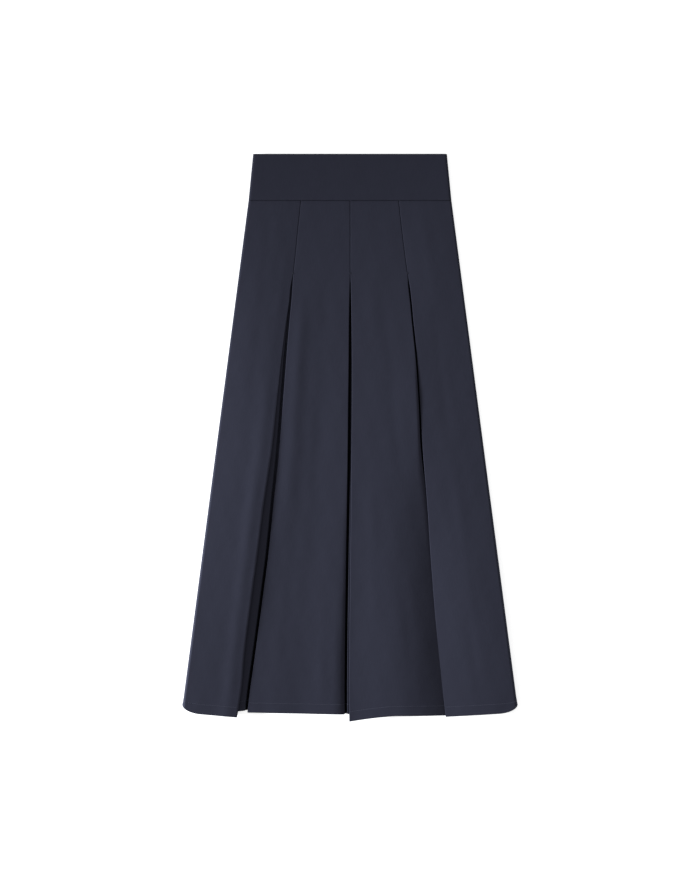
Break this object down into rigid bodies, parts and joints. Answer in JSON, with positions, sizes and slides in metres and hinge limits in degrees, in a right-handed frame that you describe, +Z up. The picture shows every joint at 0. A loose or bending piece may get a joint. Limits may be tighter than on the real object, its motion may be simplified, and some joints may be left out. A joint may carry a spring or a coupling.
{
  "type": "pleated midi skirt",
  "caption": "A-line midi skirt laid flat, with a deep plain waistband and inverted pleats stitched shut at the hip, in dark navy cloth.",
  "frame": {"origin": "centre of the laid-flat skirt's outline, on the surface that it lies on", "axes": "+Y along the skirt towards the waistband, +X towards the wearer's left side, +Z up out of the front"},
  "size_m": [0.5344, 0.9056, 0.0168],
  "materials": {
    "waistband": "matt dark navy suiting twill, doubled and stiffened",
    "front_panels": "matt dark navy suiting twill, pressed, with a faint sheen",
    "pleat_underlays": "the same navy twill, in the shade of the pleats",
    "back_panel": "matt dark navy suiting twill"
  },
  "bodies": {
    "root": {"waistband_front": "waistband", "waistband_back": "waistband", "front_panel_right_side": "front_panels", "front_panel_right_centre": "front_panels", "front_panel_left_centre": "front_panels", "front_panel_left_side": "front_panels", "pleat_underlay_right": "pleat_underlays", "pleat_underlay_centre": "pleat_underlays", "pleat_underlay_left": "pleat_underlays", "back_panel": "back_panel"}
  },
  "joints": []
}
